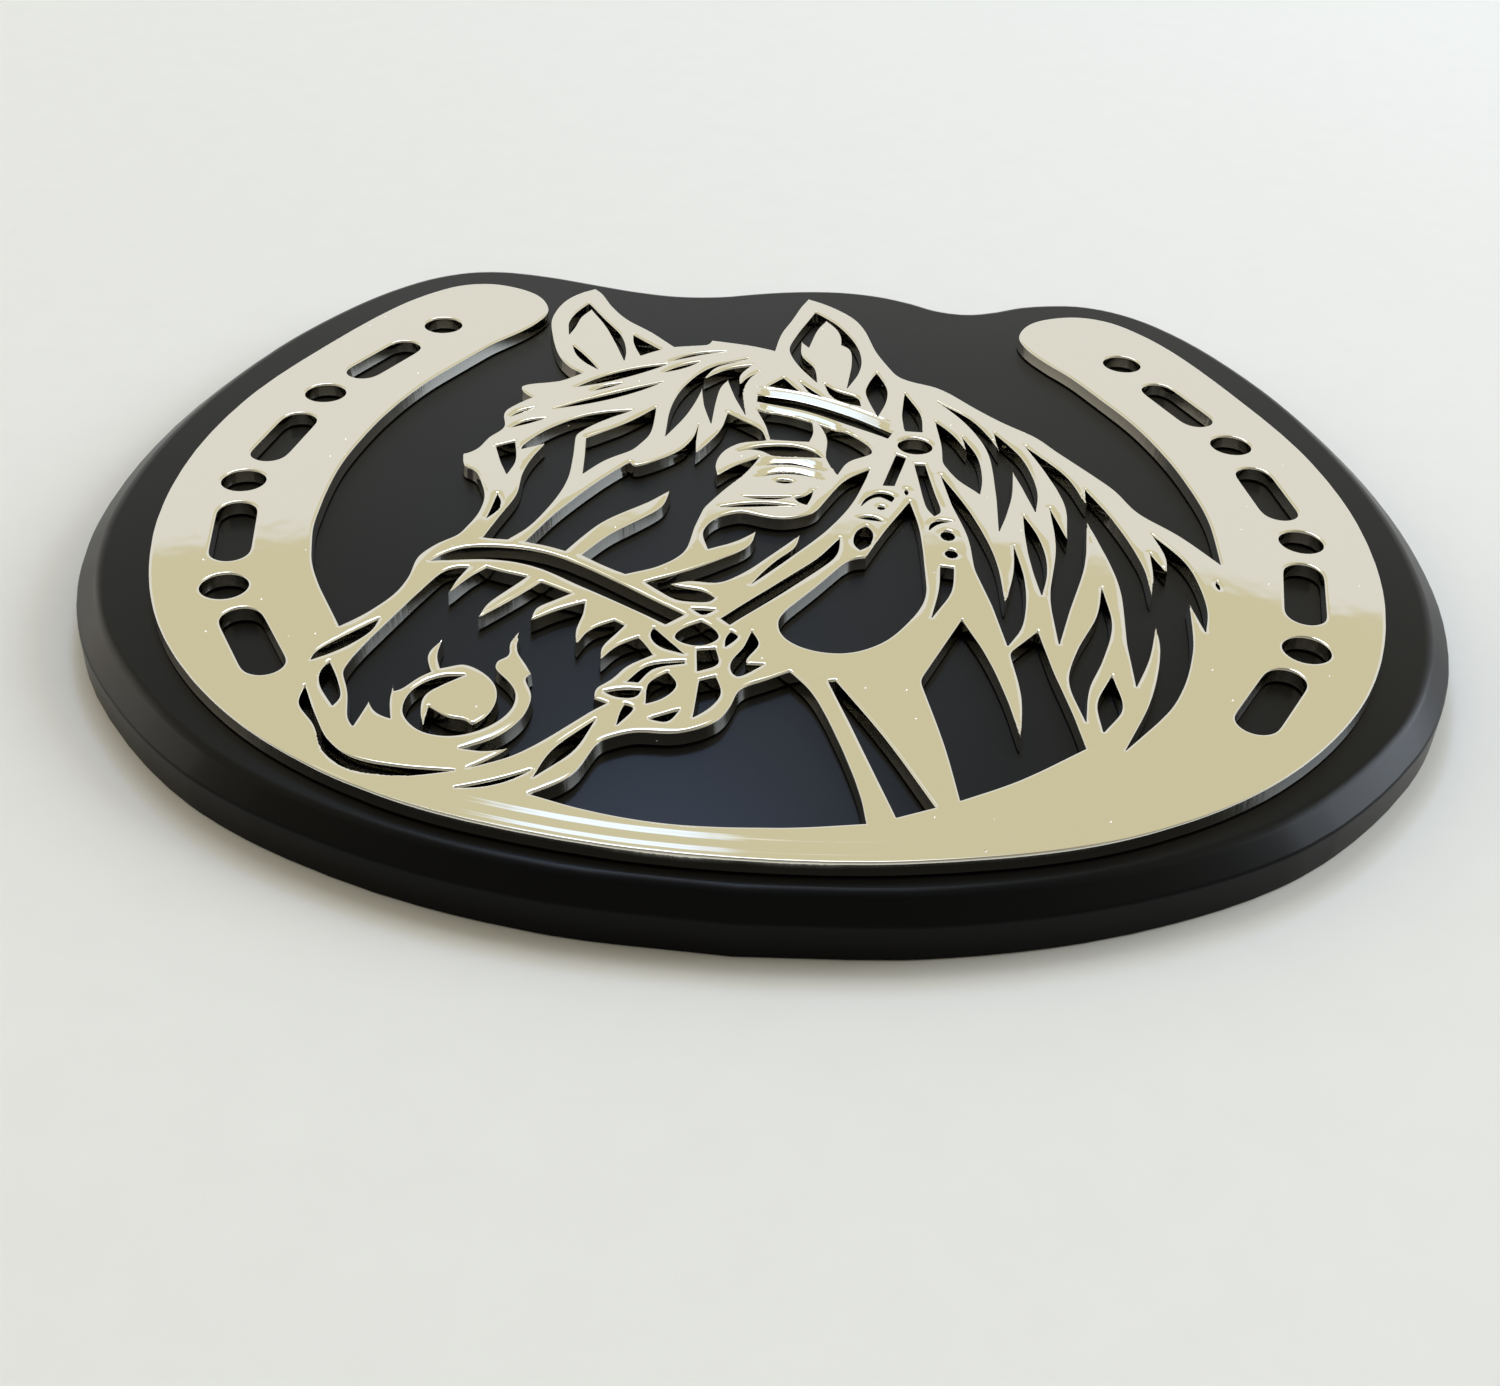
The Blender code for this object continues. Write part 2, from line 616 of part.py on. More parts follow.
def slot(x, y, length, width, direction):
    """A slot with round ends along the direction, in radians."""
    radius = width / 2
    turn = Matrix.Rotation(direction, 2)
    loop = []
    for end in (1, -1):
        for i in range(SLOT_END_STEPS + 1):
            angle = math.pi * (i / SLOT_END_STEPS - end / 2)
            reach = end * (length / 2 - radius)
            point = turn @ Vector((reach + radius * math.cos(angle), radius * math.sin(angle)))
            loop.append((x + point.x, y + point.y))
    return loop


def mirrored(points):
    return tuple((-x, y) for x, y in points)


def badge_edge():
    """The outer loop: right arm, heel and rim, toe, left rim, heel and arm, then the head's own edge."""
    right = (CREST_CORNER, *ARM_INNER, *ARM_HEEL_TO_TOE)
    left = (*mirrored(tuple(reversed(ARM_HEEL_TO_TOE[:-1]))), *mirrored(tuple(reversed(ARM_INNER))))
    shoe = (*right, *left, *reversed(LOW_LEFT_ARM))
    head = []
    for side, following in zip(HEAD_EDGE, (*HEAD_EDGE[1:], (CHIN_CORNER,))):
        head += thinned(smooth_side((*side, following[0])), CURVE_TOLERANCE)[:-1]
    return thinned(smooth_side((*shoe, CHIN_CORNER)), CURVE_TOLERANCE) + list(reversed(head))[:-1]


def nail_holes():
    """Round holes and slots in turn along each arm, each slot in line with its neighbours."""
    loops = []
    for side in (1, -1):
        places = [(side * x, y) for x, y in NAIL_PLACES]
        for i, (x, y) in enumerate(places):
            if i % 2 == 0:
                radius = NAIL_HOLE_DIAMETER / UNIT / 2
                loops.append(oval(x, y, radius, radius))
                continue
            before = places[i - 1]
            after = places[i + 1] if i + 1 < len(places) else places[i]
            direction = math.atan2(after[1] - before[1], after[0] - before[0])
            loops.append(slot(x, y, NAIL_SLOT_LENGTH / UNIT, NAIL_SLOT_WIDTH / UNIT, direction))
    return loops


def badge_windows():
    loops = [outline(window) for window in WINDOWS]
    loops += [leaf(*cut) for cut in FORELOCK_LEAVES + EYE_LEAVES + STRAP_LEAVES]
    loops += [oval(*cut) for cut in OVALS]
    radius = ROSETTE_DIAMETER / UNIT / 2
    loops.append(oval(*ROSETTE_PLACE, radius, radius))
    return loops + nail_holes()


def plate_edge():
    """The plate's outer loop from the toe anticlockwise: right side, wavy back edge, left side."""
    left = mirrored(tuple(reversed(PLATE_SIDE[1:-1])))
    loop = smooth_side((*PLATE_SIDE[:-1], *PLATE_BACK, *left, PLATE_SIDE[0]))
    return thinned(loop, CURVE_TOLERANCE)[:-1]


def new_material(name, colour, metallic, roughness):
    material = bpy.data.materials.new(name)
    material.use_nodes = True
    shader = material.node_tree.nodes["Principled BSDF"]
    shader.inputs["Base Color"].default_value = (*colour, 1.0)
    shader.inputs["Metallic"].default_value = metallic
    shader.inputs["Roughness"].default_value = roughness
    return material


def flat_sheet(loops, thickness):
    """The drawing's loops filled, holes and all, and given their thickness about the sheet's own middle."""
    drawing = bpy.data.curves.new("outline", "CURVE")
    drawing.dimensions = "2D"
    drawing.fill_mode = "BOTH"
    drawing.extrude = thickness / UNIT / 2
    for loop in loops:
        spline = drawing.splines.new("POLY")
        spline.points.add(len(loop) - 1)
        for point, (x, y) in zip(spline.points, loop):
            point.co = (x, y, 0.0, 1.0)
        spline.use_cyclic_u = True
    guide = bpy.data.objects.new("outline", drawing)
    bpy.context.scene.collection.objects.link(guide)
    bpy.context.view_layer.update()
    mesh = bpy.data.meshes.new_from_object(guide.evaluated_get(bpy.context.evaluated_depsgraph_get()))
    bpy.data.objects.remove(guide)
    sheet = bmesh.new()
    sheet.from_mesh(mesh)
    bpy.data.meshes.remove(mesh)
    bmesh.ops.remove_doubles(sheet, verts=sheet.verts, dist=WELD)
    bmesh.ops.scale(sheet, vec=(UNIT, UNIT, UNIT), verts=sheet.verts)
    bmesh.ops.recalc_face_normals(sheet, faces=sheet.faces)
    return sheet


def add_part(name, shape, collection, material):
    mesh = bpy.data.meshes.new(name)
    shape.to_mesh(mesh)
    shape.free()
    mesh.materials.append(material)
    part = bpy.data.objects.new(name, mesh)
    collection.objects.link(part)
    return part


def plate_shape(edge):
    """A slab up to the foot of the bevel, and its top drawn in and up over the bevel."""
    plate = flat_sheet([edge], PLATE_THICKNESS - BEVEL_DROP)
    upper = [face for face in plate.faces if face.normal.z > 0.5]
    top = bmesh.ops.dissolve_faces(plate, faces=upper)["region"][0]
    bmesh.ops.inset_region(plate, faces=[top], thickness=BEVEL_RUN, use_even_offset=True)
    bmesh.ops.translate(plate, vec=(0.0, 0.0, BEVEL_DROP), verts=top.verts)
    return plate


def main():
    for thing in list(bpy.data.objects):
        bpy.data.objects.remove(thing)
    collection = bpy.data.collections.new("horseshoe_plaque")
    bpy.context.scene.collection.children.link(collection)
    plating = new_material("pale_plating", *PLATING)
    black = new_material("matte_black", *MATTE_BLACK)

    edge = plate_edge()
    depths = [y for _, y in edge]
    middle = UNIT * (min(depths) + max(depths)) / 2

    plate = add_part("base_plate", plate_shape(edge), collection, black)
    plate.location = (0.0, -middle, (PLATE_THICKNESS - BEVEL_DROP) / 2)

    badge_sheet = flat_sheet([badge_edge(), *badge_windows()], BADGE_THICKNESS)
    badge = add_part("horseshoe_badge", badge_sheet, collection, plating)
    badge.location = (BADGE_OFF_CENTRE, -middle, PLATE_THICKNESS + SEAT_GAP + BADGE_THICKNESS / 2)
    badge.rotation_euler = (0.0, 0.0, BADGE_TURN)


main()
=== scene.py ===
# %% [markdown]
# # A horseshoe plaque, dressed for its picture
# The real object is two pieces. A plate with a bevelled edge is coated in satin black, and on it lies one
# flat casting with a bright plated skin: a horse's head that grows out of a horseshoe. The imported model
# already has both outlines, so this lesson adds what a mould, a plating bath and a spray gun leave on them:
# rounded edges and finishes.

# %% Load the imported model
import math

import bmesh
import bpy
from mathutils import Matrix, Vector
from mathutils.bvhtree import BVHTree
from mathutils.geometry import delaunay_2d_cdt
from mathutils.kdtree import KDTree


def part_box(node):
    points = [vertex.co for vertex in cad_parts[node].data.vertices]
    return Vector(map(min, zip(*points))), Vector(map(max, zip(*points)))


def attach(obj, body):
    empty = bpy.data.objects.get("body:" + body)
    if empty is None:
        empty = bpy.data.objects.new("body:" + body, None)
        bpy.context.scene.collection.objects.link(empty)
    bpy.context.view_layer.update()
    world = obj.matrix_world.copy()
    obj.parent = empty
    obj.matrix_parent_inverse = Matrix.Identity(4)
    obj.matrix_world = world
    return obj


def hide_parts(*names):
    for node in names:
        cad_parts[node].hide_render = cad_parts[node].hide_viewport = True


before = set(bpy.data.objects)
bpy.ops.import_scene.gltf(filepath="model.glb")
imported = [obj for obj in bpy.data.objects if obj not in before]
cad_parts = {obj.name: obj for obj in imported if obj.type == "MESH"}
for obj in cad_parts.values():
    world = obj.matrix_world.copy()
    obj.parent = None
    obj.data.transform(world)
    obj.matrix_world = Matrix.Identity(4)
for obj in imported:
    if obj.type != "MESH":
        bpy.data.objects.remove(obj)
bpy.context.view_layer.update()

MM = 0.001

# %% [markdown]
# ## The camera
# A phone was held close over the toe of the horseshoe, so the near edge looks far wider than the heels. That
# strong perspective only comes out right when the camera stands at the true distance, which is given here in
# millimetres. The focal length is given in pixels of a 1500 pixel wide image and turned into Blender's lens.

# %% Place the camera
CAMERA_PLACE = (2.36, -172.54, 103.64)
CAMERA_TURN = (54.24, -2.43, 2.87)
FOCAL_PX = 1716.4
IMAGE_WIDTH_PX = 1500
SENSOR_WIDTH = 36.0

camera = bpy.data.objects.new("camera", bpy.data.cameras.new("camera"))
camera.data.sensor_width = SENSOR_WIDTH
camera.data.lens = FOCAL_PX / IMAGE_WIDTH_PX * SENSOR_WIDTH
camera.data.clip_start = 5 * MM
camera.location = Vector(CAMERA_PLACE) * MM
camera.rotation_euler = [math.radians(angle) for angle in CAMERA_TURN]
bpy.context.scene.collection.objects.link(camera)
bpy.context.scene.camera = camera
print("lens, mm:", round(camera.data.lens, 2))

# %% [markdown]
# ## Helpers for shapes
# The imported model's mesh is loose triangles, so a piece that starts from it takes a merged copy first. A
# finished piece keeps its object at the origin, with its place in its mesh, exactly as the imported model
# does.

# %% Shape helpers
MERGE = 0.001 * MM


def merged_copy(node_name):
    """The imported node's triangles as one connected shape."""
    shape = bmesh.new()
    shape.from_mesh(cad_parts[node_name].data)
    bmesh.ops.remove_doubles(shape, verts=shape.verts, dist=MERGE)
    return shape


def finish_piece(name, shape, node_name, sharp_degrees):
    """A smooth-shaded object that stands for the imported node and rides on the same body."""
    mesh = bpy.data.meshes.new(name)
    shape.to_mesh(mesh)
    shape.free()
    mesh.shade_smooth()
    mesh.set_sharp_from_angle(angle=math.radians(sharp_degrees))
    piece = bpy.data.objects.new(name, mesh)
    bpy.context.scene.collection.objects.link(piece)
    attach(piece, "root")
    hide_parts(node_name)
    print(name, "triangles:", sum(len(face.vertices) - 2 for face in mesh.polygons))
    return piece


# %% [markdown]
# ## The badge
# On the real badge the drawing's narrow lines are crowned, because it was cast, polished and then plated,
# while its broad faces are flat almost to their edges. Bevelling can't do that: it either stops at the
# thinnest line or runs over it. So the top is made as a sheet whose height follows from the distance to the
# nearest edge and from how broad the metal is there. The first step reads the outlines.

# %% Read the outlines round the badge's top
BADGE = "horseshoe_badge"
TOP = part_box(BADGE)[1].z
NEAR = 0.01 * MM


def on_top(element):
    """Whether an edge or a face lies in the badge's flat top."""
    return all(vert.co.z > TOP - NEAR for vert in element.verts)


def rim_loops(shape):
    """Closed rows of points along the top's edges, each with the metal on its left."""
    following = {}
    for face in filter(on_top, shape.faces):
        for corner in face.loops:
            if not all(on_top(other) for other in corner.edge.link_faces):
                following[corner.vert] = corner.link_loop_next.vert
    loops = []
    while following:
        start, here = following.popitem()
        loop = [start.co.xy]
        while here is not start:
            loop.append(here.co.xy)
            here = following.pop(here)
        loops.append(loop)
    return loops


badge_copy = merged_copy(BADGE)
rims = rim_loops(badge_copy)
badge_copy.free()
print("outlines round the badge's top:", len(rims))

# %% [markdown]
# The outlines are straight runs of a few millimetres. They are cut into short runs and relaxed a little, so
# that a highlight can glide along a curve, while true corners of the drawing stay where they are.

# %% Cut the outlines fine and relax their curves
SPACING = 0.5 * MM
CORNER = math.radians(50)
RELAX_ROUNDS = 3
RELAX_SHARE = 0.5


def turn_at(before, here, after):
    """How far the line turns to the left at a point, in radians."""
    into = here - before
    out = after - here
    return math.atan2(into.x * out.y - into.y * out.x, into.dot(out))


def neighbours(loop):
    """Each point with the one before it and the one after it."""
    return zip(loop[-1:] + loop[:-1], loop, loop[1:] + loop[:1])


def fine_loop(loop):
    """The outline in short runs, relaxed everywhere but at its corners."""
    fine = []
    fixed = []
    for before, here, after in neighbours(loop):
        parts = max(1, round((after - here).length / SPACING))
        fine += [here.lerp(after, part / parts) for part in range(parts)]
        fixed += [abs(turn_at(before, here, after)) > CORNER] + [False] * (parts - 1)
    for _ in range(RELAX_ROUNDS):
        fine = [
            here.copy() if held else here.lerp((before + after) / 2, RELAX_SHARE)
            for (before, here, after), held in zip(neighbours(fine), fixed)
        ]
    return fine


fine_rims = [fine_loop(rim) for rim in rims]
print("points along the outlines:", sum(map(len, fine_rims)))

# %% [markdown]
# The distance to the nearest edge comes from a search tree over upright walls that stand on the outlines.
# From each outline point a ray is sent into the metal, and it ends on the ridge, where another edge is as
# near. The crown of a narrow line runs from its edge to that ridge. Broad metal gets only a short shoulder,
# and metal between the two widths something between, so that one passes into the other.

# %% Measure how broad the metal is
CROWN_LIMIT = 0.85 * MM
CROWN_FADE = 0.35 * MM
SHOULDER_RUN = 0.3 * MM
PROBE_REACH = 2.5 * MM
PROBE_STEP = 0.1 * MM
RIDGE_SHARE = 0.97
RIDGE_ROUNDS = 5
EVEN_ROUNDS = 8
FAN_STEP = math.radians(30)
# the line doubles back where its two unit normals add up to less than this
DOUBLED_BACK = 0.1
TREE_HALF_HEIGHT = 1.0


def wall_tree(loops):
    """A search tree over upright walls on the loops, round the height zero."""
    corners = []
    walls = []
    for loop in loops:
        for here, after in zip(loop, loop[1:] + loop[:1]):
            first = len(corners)
            corners += [(*here, -TREE_HALF_HEIGHT), (*after, -TREE_HALF_HEIGHT)]
            corners += [(*after, TREE_HALF_HEIGHT), (*here, TREE_HALF_HEIGHT)]
            walls.append((first, first + 1, first + 2, first + 3))
    return BVHTree.FromPolygons(corners, walls)


rim_tree = wall_tree(fine_rims)


def edge_distance(place):
    """How far a place is from the nearest edge."""
    return rim_tree.find_nearest((*place, 0.0))[3]


def inward_directions(before, here, after):
    """Directions into the metal: one on a smooth stretch, a fan round the tip of a cut."""
    start = (here - before).orthogonal().normalized()
    end = (after - here).orthogonal().normalized()
    turn = turn_at(before, here, after)
    if turn > -FAN_STEP:
        middle = start + end
        return [middle.normalized()] if middle.length > DOUBLED_BACK else [start]
    parts = math.ceil(-turn / FAN_STEP)
    return [Matrix.Rotation(turn * part / parts, 2) @ start for part in range(parts + 1)]


def ridge_reach(here, direction):
    """How far a ray runs to the ridge, or the longest reach that matters."""

    def clear(reach):
        return edge_distance(here + direction * reach) >= reach * RIDGE_SHARE

    good = 0.0
    while good < PROBE_REACH and clear(good + PROBE_STEP):
        good += PROBE_STEP
    bad = good + PROBE_STEP
    for _ in range(RIDGE_ROUNDS):
        middle = (good + bad) / 2
        if clear(middle):
            good = middle
        else:
            bad = middle
    return good


def crown_run(ridge):
    """How far the crown runs in from the edge where the ridge is this far away."""
    broad = min(1.0, max(0.0, ridge - CROWN_LIMIT) / CROWN_FADE)
    return min(ridge, CROWN_LIMIT) * (1 - broad) + SHOULDER_RUN * broad


def evened(runs):
    """The runs along a closed loop, each eased towards its neighbours."""
    for _ in range(EVEN_ROUNDS):
        runs = [(before + 2 * here + after) / 4 for before, here, after in neighbours(runs)]
    return runs


rays = [
    [(trio[1], way) for way in inward_directions(*trio)]
    for loop in fine_rims for trio in neighbours(loop)
]
ridges = [[ridge_reach(here, way) for here, way in fan] for fan in rays]
rim_points = [point for loop in fine_rims for point in loop]
runs_at_rim = []
for loop in fine_rims:
    fans = ridges[len(runs_at_rim):len(runs_at_rim) + len(loop)]
    runs_at_rim += evened([crown_run(max(fan)) for fan in fans])
rim_finder = KDTree(len(rim_points))
for number, point in enumerate(rim_points):
    rim_finder.insert((*point, 0.0), number)
rim_finder.balance()
print("crown runs, mm: from", round(min(runs_at_rim) / MM, 2), "to", round(max(runs_at_rim) / MM, 2))

# %% [markdown]
# Two kinds of places have more relief. The bars beside the browband's slot and above the eyelids lean
# towards the toe, and a groove parts the browband from the hair. Round the toe the face steps down twice, by
# less than a tenth of a millimetre. All of these catch the window.

# %% Shape the relief of the bars and the toe
LEAN = math.tan(math.radians(11.5))
GROOVE_HALF = 0.3 * MM
GROOVE_DEPTH = 0.15 * MM
BAR_DEPTH = 3.2 * MM
TOE_STARTS = -38 * MM
TOE_FULL = -50 * MM
TOE_DEPTH = 3.5 * MM
STEP_SLOPE = math.tan(math.radians(4.6))
# distance of a step's middle from the outer edge, and half its width
TOE_STEPS = ((0.93 * MM, 0.32 * MM), (2.6 * MM, 0.47 * MM))
# a slot's middle in millimetres, how much metal leans behind it and before it, where the lean before it ends
# on the right, and how deep the groove behind it is
BARS = (
    {"middle": (6.0, 22.4), "behind": 1.7 * MM, "before": 1.5 * MM, "ends": 8.6 * MM, "groove": GROOVE_DEPTH},
    {"middle": (2.6, 8.0), "behind": 1.4 * MM, "before": 0.0, "ends": 0.0, "groove": 0.0},
    {"middle": (2.2, 6.0), "behind": 1.1 * MM, "before": 0.0, "ends": 0.0, "groove": 0.0},
)
END_FADE = 1.2 * MM
# a bar leans fully where at least this share of the way to its slot runs from front to back
SQUARE_ON = 0.5
# an eased step is this much steeper halfway than an even slope
STEEPEST = 1.5


def centre(loop):
    """The mean of an outline's points."""
    return sum(loop, Vector((0, 0))) / len(loop)


def eased(share):
    """Nought to one with a soft start and a soft end."""
    share = min(1.0, max(0.0, share))
    return share * share * (3 - 2 * share)


def loop_round(middle):
    """The outline whose points lie round a middle that is given in millimetres."""
    target = Vector(middle) * MM
    return min(fine_rims, key=lambda loop: (centre(loop) - target).length)


def bar_drop(slot, place):
    """How far the metal beside a slot leans down at a place."""
    near, _, _, away = slot["tree"].find_nearest((*place, 0.0))
    if away > BAR_DEPTH or away == 0:
        return 0.0
    side = (place.y - near.y) / away
    share = eased(abs(side) / SQUARE_ON) * eased((place.x - slot["left"]) / END_FADE)
    if side < 0:
        lean = LEAN * max(0.0, min(away, 2 * slot["before"] - away))
        return lean * share * eased((slot["ends"] - place.x) / END_FADE)
    groove = slot["groove"] * eased(1 - abs(away - slot["behind"] - GROOVE_HALF) / GROOVE_HALF)
    lean = LEAN * max(0.0, slot["behind"] - away) + groove
    return lean * share * eased((slot["right"] - place.x) / END_FADE)


def toe_drop(place):
    """How far the steps round the toe bring the face down at a place."""
    share = (place.y - TOE_STARTS) / (TOE_FULL - TOE_STARTS)
    if share <= 0:
        return 0.0
    away = outer_tree.find_nearest((*place, 0.0))[3]
    drops = (
        STEP_SLOPE * 2 * half / STEEPEST * eased((middle + half - away) / (2 * half))
        for middle, half in TOE_STEPS
    )
    return min(1.0, share) * sum(drops)


outer_rim = max(fine_rims, key=len)
outer_tree = wall_tree([outer_rim])
for slot in BARS:
    slot["loop"] = loop_round(slot["middle"])
    slot["tree"] = wall_tree([slot["loop"]])
    slot["left"] = min(point.x for point in slot["loop"])
    slot["right"] = max(point.x for point in slot["loop"])
    print("slot with leaning bars, mm:", [round(v / MM, 1) for v in centre(slot["loop"])])

# %% [markdown]
# Points are set on each ray: on the small arc that rounds the edge, then every third of a millimetre along
# the crown, and one more just past it, which keeps the flat top's shading flat. The relief gets points in
# close steps.

# %% Sow the points of the crowned top
EDGE_ROUND = 0.16 * MM
ARC_SLOPE = math.radians(50)
EDGE_SLOPE = math.radians(14)
RING_STEP = 0.33 * MM
FLAT_MARGIN = 0.08 * MM
CROWDED = 0.025 * MM
DEEP_STEP = 0.16 * MM
DEEP_CLEAR = 0.1 * MM

arc_run = EDGE_ROUND * (1 - math.sin(EDGE_SLOPE))
first_ring = EDGE_ROUND * (1 - math.sin(ARC_SLOPE))


def ring_reaches(run, ridge):
    """Distances from the edge at which a ray gets its points."""
    steps = max(1, math.ceil((run - arc_run) / RING_STEP))
    reaches = [first_ring, arc_run] + [arc_run + (run - arc_run) * i / steps for i in range(1, steps + 1)]
    reaches.append(run + FLAT_MARGIN)
    return [reach for reach in reaches if reach < ridge] + ([ridge] if ridge <= reaches[-1] else [])


def deep_points(loop, depth):
    """Points in close steps on the rays of one outline, as deep as asked or as the metal goes."""
    points = []
    for trio in neighbours(loop):
        for way in inward_directions(*trio):
            run = [trio[1] + way * DEEP_STEP * i for i in range(1, round(depth / DEEP_STEP))]
            gap = rim_tree.ray_cast((*(trio[1] + way * NEAR), 0.0), (*way, 0.0))[3] or depth
            points += [place for place in run[:int(gap / DEEP_STEP)] if edge_distance(place) > DEEP_CLEAR]
    return points


taken = {(round(point.x / CROWDED), round(point.y / CROWDED)) for point in rim_points}
inner_points = []


def sow(place):
    """Keeps a point, unless another has its spot already."""
    spot = (round(place.x / CROWDED), round(place.y / CROWDED))
    if spot not in taken:
        taken.add(spot)
        inner_points.append(place)


for fan, fan_ridges, run in zip(rays, ridges, runs_at_rim):
    for (here, way), ridge in zip(fan, fan_ridges):
        for reach in ring_reaches(run, ridge):
            sow(here + way * reach)
for slot in BARS:
    for place in deep_points(slot["loop"], BAR_DEPTH):
        sow(place)
for place in deep_points(outer_rim, TOE_DEPTH):
    if place.y < TOE_STARTS:
        sow(place)
print("points inside the outlines:", len(inner_points))

# %% [markdown]
# A Delaunay triangulation joins all the points and keeps the outlines as edges. Its triangles cover the
# windows too. The metal lies on the left of every outline, so the triangles there are kept, with all that
# they reach without crossing an outline.
#
# The sheet's rim is then pulled down into the walls: a short step keeps the rounding's shading out of the
# wall, and a long one reaches the foot, above a dark line of adhesive. A casting has to slide out of its
# mould, so the walls lean out towards the foot, less where a cut is narrow. That draft lets a wall mirror
# the plate at a flat angle, which is why it shines grey.

# %% Weave the rounded top and close the badge
INSIDE = 1
JOIN = 0.0001 * MM
ADHESIVE = 0.2 * MM
BADGE_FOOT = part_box("base_plate")[1].z + ADHESIVE
WALL_EDGE = 0.06 * MM
DRAFT = 0.10 * MM
DRAFT_SHARE = 0.2
SHARP_DEGREES = 50


def top_height(place):
    """The top's height at a place: a parabola across the crown, a small arc at its edge, and the relief."""
    distance = edge_distance(place)
    run = max(arc_run, runs_at_rim[rim_finder.find((*place, 0.0))[1]])
    height = TOP - max(0.0, 1 - distance / run) ** 2 * run * math.tan(EDGE_SLOPE) / 2
    height -= toe_drop(place) + sum(bar_drop(slot, place) for slot in BARS)
    if distance < arc_run:
        side = EDGE_ROUND - distance
        height -= EDGE_ROUND * math.cos(EDGE_SLOPE) - math.sqrt(EDGE_ROUND ** 2 - side ** 2)
    return height


def rim_runs():
    """Pairs of numbers of the outline points that follow each other."""
    runs = []
    first = 0
    for loop in fine_rims:
        count = len(loop)
        runs += [(first + i, first + (i + 1) % count) for i in range(count)]
        first += count
    return runs


def metal_faces(run_edges):
    """The faces on the left of the outlines, and all that join them without crossing an outline."""
    metal = set()
    waiting = []
    for edge, start in run_edges.items():
        waiting += [corner.face for corner in edge.link_loops if corner.vert is start]
    while waiting:
        face = waiting.pop()
        if face not in metal:
            metal.add(face)
            waiting += [other for edge in face.edges if edge not in run_edges for other in edge.link_faces]
    return metal


def spread_at(before, here, after):
    """How far the foot of the wall stands out from the outline at a point."""
    outward = -inward_directions(before, here, after)[0]
    start = here + outward * JOIN
    gap = rim_tree.ray_cast((*start, 0.0), (*outward, 0.0))[3]
    return outward * (DRAFT if gap is None else min(DRAFT, gap * DRAFT_SHARE))


places, _, triangles, sources, _, _ = delaunay_2d_cdt(
    rim_points + inner_points, rim_runs(), [], INSIDE, JOIN
)
badge = bmesh.new()
verts = [badge.verts.new((*place, top_height(place))) for place in places]
for corners in triangles:
    badge.faces.new([verts[corner] for corner in corners])
vert_of = {source: vert for vert, own in zip(verts, sources) for source in own}
run_edges = {badge.edges.get((vert_of[a], vert_of[b])): vert_of[a] for a, b in rim_runs()}
metal = metal_faces(run_edges)
bmesh.ops.delete(badge, geom=[face for face in badge.faces if face not in metal], context="FACES")
print("triangles of the top:", len(badge.faces))

spreads = [spread_at(*trio) for loop in fine_rims for trio in neighbours(loop)]
spread_of = {vert_of[i]: spread for i, spread in enumerate(spreads)}
for drop in (WALL_EDGE, None):
    rim = [edge for edge in badge.edges if edge.is_boundary]
    walls = bmesh.ops.extrude_edge_only(badge, edges=rim)["geom"]
    for vert in (item for item in walls if isinstance(item, bmesh.types.BMVert)):
        above = next(edge.other_vert(vert) for edge in vert.link_edges if not edge.is_boundary)
        spread_of[vert] = spread_of.pop(above)
        vert.co.z = BADGE_FOOT if drop is None else above.co.z - drop
foot_edges = [edge for edge in badge.edges if edge.is_boundary]
bmesh.ops.triangle_fill(badge, use_beauty=False, edges=foot_edges)
for vert, spread in spread_of.items():
    vert.co.xy += spread
bmesh.ops.recalc_face_normals(badge, faces=badge.faces)
print("open edges:", sum(not edge.is_manifold for edge in badge.edges))
badge_piece = finish_piece("plated_badge", badge, BADGE, SHARP_DEGREES)

# %% [markdown]
# ## The plate
# The plate was milled or moulded with a flat top, a slope and an upright wall, and the coating rounds each
# edge. Here a bevel is right: the creases run round the whole plate and nothing is thinner than they are.
# The upper crease is soft, the lower one and the foot are crisp.

# %% Round the plate's creases
UPPER_ROUND = 0.6 * MM
UPPER_SEGMENTS = 5
LOWER_ROUND = 0.25 * MM
LOWER_SEGMENTS = 3
FLAT = math.radians(1)
CREASE_DEGREES = 60
PLATE = "base_plate"
plate_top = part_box(PLATE)[1].z


def crease_at(shape, height):
    """The edges at one height between two faces that slope differently."""
    return [
        edge for edge in shape.edges
        if all(abs(vert.co.z - height) < NEAR for vert in edge.verts) and edge.calc_face_angle(0) > FLAT
    ]


plate = merged_copy(PLATE)
bmesh.ops.dissolve_limit(plate, angle_limit=FLAT, verts=plate.verts, edges=plate.edges)
heights = sorted({round(vert.co.z / MM, 3) for vert in plate.verts})
slope_foot = heights[1] * MM
creases = (
    (plate_top, UPPER_ROUND, UPPER_SEGMENTS),
    (slope_foot, LOWER_ROUND, LOWER_SEGMENTS),
    (0.0, LOWER_ROUND, LOWER_SEGMENTS),
)
for height, size, segments in creases:
    bmesh.ops.bevel(
        plate, geom=crease_at(plate, height), offset=size, segments=segments,
        affect="EDGES", profile=0.5, material=-1,
    )
print("heights of the plate's creases, mm:", heights)
plate_piece = finish_piece("coated_plate", plate, PLATE, CREASE_DEGREES)
level = plate_piece.modifiers.new("level_faces", "WEIGHTED_NORMAL")
level.keep_sharp = True

# %% [markdown]
# ## Helpers for finishes
# Colours are written as the hex values that a paint chip would have and turned into the linear numbers that
# the shader works with. One function adds a node, sets its properties and connects or fills its inputs.

# %% Finish helpers


